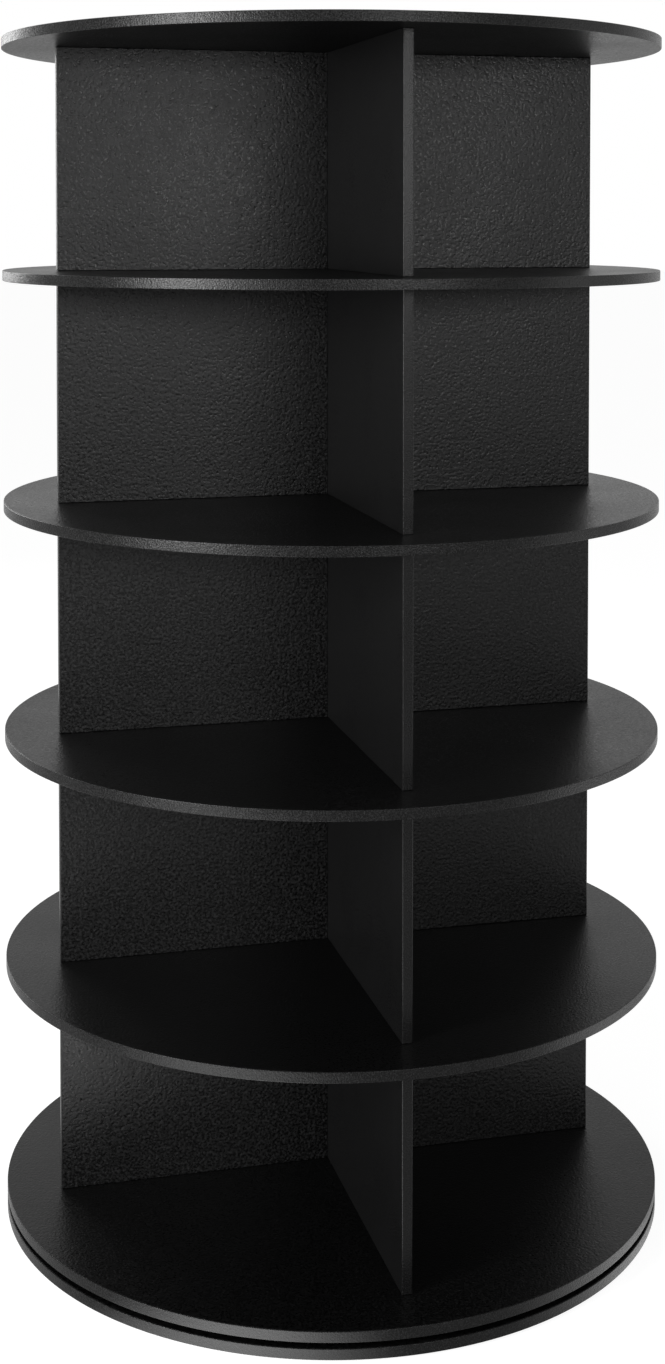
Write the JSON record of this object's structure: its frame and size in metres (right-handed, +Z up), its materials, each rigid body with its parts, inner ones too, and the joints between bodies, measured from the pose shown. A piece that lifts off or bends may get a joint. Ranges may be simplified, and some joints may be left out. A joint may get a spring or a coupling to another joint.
{
  "type": "rotating shoe tower",
  "caption": "Round black shoe tower whose stacked shelves, parted by crossed upright panels, turn as one on a low base.",
  "frame": {"origin": "on the floor, under the middle of the tower", "axes": "+Z up along the axis that the tower turns on; +X along the long panels, to the right seen from the front; the front half panels point to -Y"},
  "size_m": [0.6, 0.6, 1.0663],
  "materials": {
    "disc_board": "black melamine faced board, satin, fine orange peel texture, banded edge",
    "panel_board": "black melamine faced board, satin, fine orange peel texture, banded edge",
    "ring_aluminium": "turned, satin",
    "cage_nylon": "moulded nylon cage with steel balls",
    "zinc_screw": "zinc plated",
    "black_screw": "black oxide",
    "pad_rubber": "matt black rubber"
  },
  "bodies": {
    "base": {"base_disc": "disc_board", "bearing_outer_ring": "ring_aluminium", "outer_ring_screw_1": "zinc_screw", "outer_ring_screw_2": "zinc_screw", "outer_ring_screw_3": "zinc_screw", "foot_pad_1": "pad_rubber", "foot_pad_2": "pad_rubber", "foot_pad_3": "pad_rubber", "foot_pad_4": "pad_rubber"},
    "ball_cage": {"bearing_ball_cage": "cage_nylon"},
    "tower": {"turntable_disc": "disc_board", "bearing_inner_ring": "ring_aluminium", "inner_ring_screw_1": "zinc_screw", "inner_ring_screw_2": "zinc_screw", "inner_ring_screw_3": "zinc_screw", "turntable_screw_right": "zinc_screw", "turntable_screw_rear": "zinc_screw", "turntable_screw_left": "zinc_screw", "turntable_screw_front": "zinc_screw", "long_panel_1": "panel_board", "front_panel_1": "panel_board", "rear_panel_1": "panel_board", "long_panel_2": "panel_board", "front_panel_2": "panel_board", "rear_panel_2": "panel_board", "long_panel_3": "panel_board", "front_panel_3": "panel_board", "rear_panel_3": "panel_board", "long_panel_4": "panel_board", "front_panel_4": "panel_board", "rear_panel_4": "panel_board", "long_panel_5": "panel_board", "front_panel_5": "panel_board", "rear_panel_5": "panel_board", "shelf_disc_1": "disc_board", "shelf_stud_1_right": "zinc_screw", "shelf_stud_1_rear": "zinc_screw", "shelf_stud_1_left": "zinc_screw", "shelf_stud_1_front": "zinc_screw", "shelf_disc_2": "disc_board", "shelf_stud_2_right": "zinc_screw", "shelf_stud_2_rear": "zinc_screw", "shelf_stud_2_left": "zinc_screw", "shelf_stud_2_front": "zinc_screw", "shelf_disc_3": "disc_board", "shelf_stud_3_right": "zinc_screw", "shelf_stud_3_rear": "zinc_screw", "shelf_stud_3_left": "zinc_screw", "shelf_stud_3_front": "zinc_screw", "shelf_disc_4": "disc_board", "shelf_stud_4_right": "zinc_screw", "shelf_stud_4_rear": "zinc_screw", "shelf_stud_4_left": "zinc_screw", "shelf_stud_4_front": "zinc_screw", "top_disc": "disc_board", "top_screw_right": "black_screw", "top_screw_rear": "black_screw", "top_screw_left": "black_screw", "top_screw_front": "black_screw"}
  },
  "joints": [
    {"name": "tower_spin", "type": "hinge", "parent": "base", "child": "tower", "pos_m": [0, 0, 0.0148], "axis": [0, 0, 1], "continuous": true},
    {"name": "ball_cage_spin", "type": "hinge", "parent": "base", "child": "ball_cage", "pos_m": [0, 0, 0.0148], "axis": [0, 0, 1], "continuous": true}
  ],
  "couplings": [
    {"joint": "ball_cage_spin", "follows": "tower_spin", "ratio": 0.5}
  ]
}
